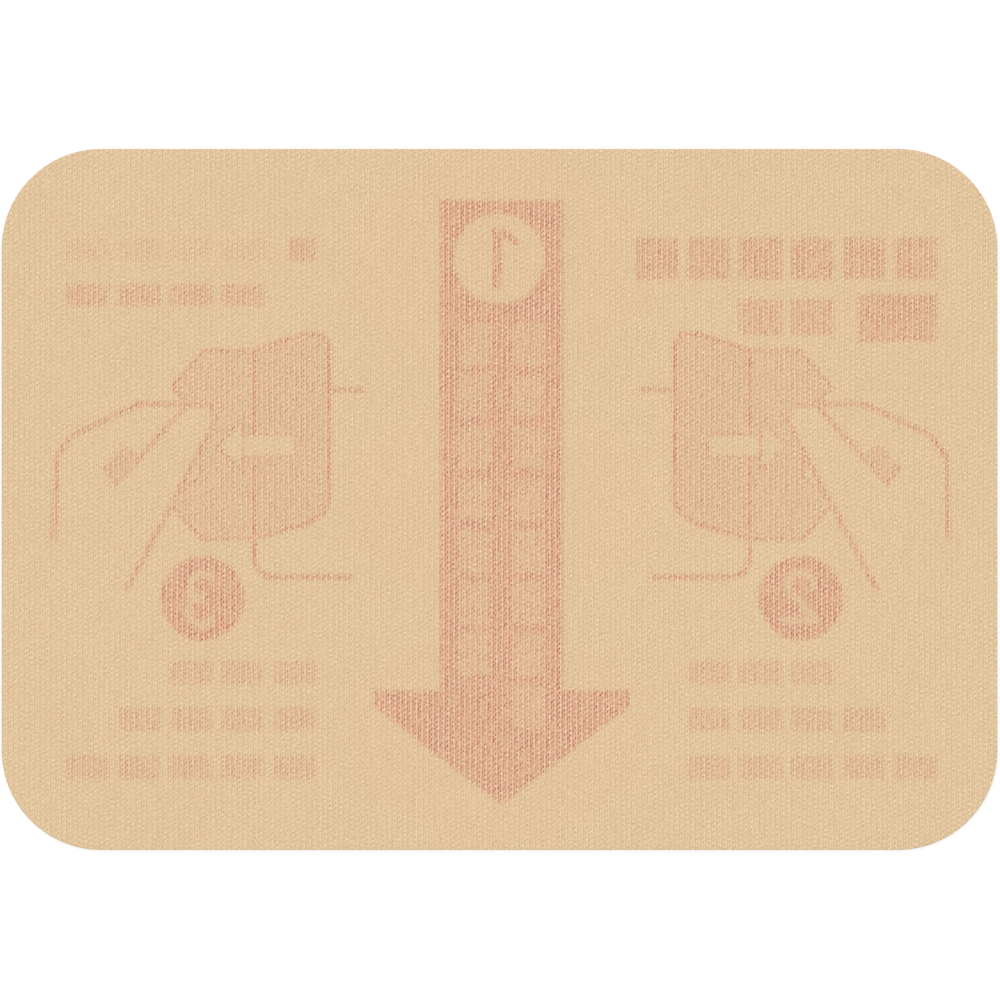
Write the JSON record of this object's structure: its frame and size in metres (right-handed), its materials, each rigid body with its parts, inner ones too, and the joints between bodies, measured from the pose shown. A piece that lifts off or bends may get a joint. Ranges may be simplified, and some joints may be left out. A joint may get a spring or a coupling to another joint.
{
  "type": "transdermal patch",
  "caption": "Flat drug patch with round corners: knitted cloth, drug adhesive, and a release film that zigzag slits divide so that its middle peels first.",
  "frame": {"origin": "middle of the release film's underside, on the surface that the patch lies on", "axes": "+X along the long side, +Y along the short side and along the wales of the knit, +Z out of the knitted side"},
  "size_m": [0.1, 0.0704, 0.0008],
  "materials": {
    "backing_cloth": "fine warp-knitted polyester in beige, matt, with narrow wales along Y and the film's red print showing faintly through",
    "drug_adhesive": "soft translucent rubber adhesive, pale yellow, tacky and glossy",
    "release_film_middle": "smooth release-coated polyester film tinted pale pink, printed in soft red",
    "release_film_side": "smooth release-coated polyester film, almost colourless, printed in soft red"
  },
  "bodies": {
    "root": {"backing_cloth": "backing_cloth", "drug_adhesive": "drug_adhesive", "release_film_middle": "release_film_middle", "release_film_left": "release_film_side", "release_film_right": "release_film_side"}
  },
  "joints": []
}
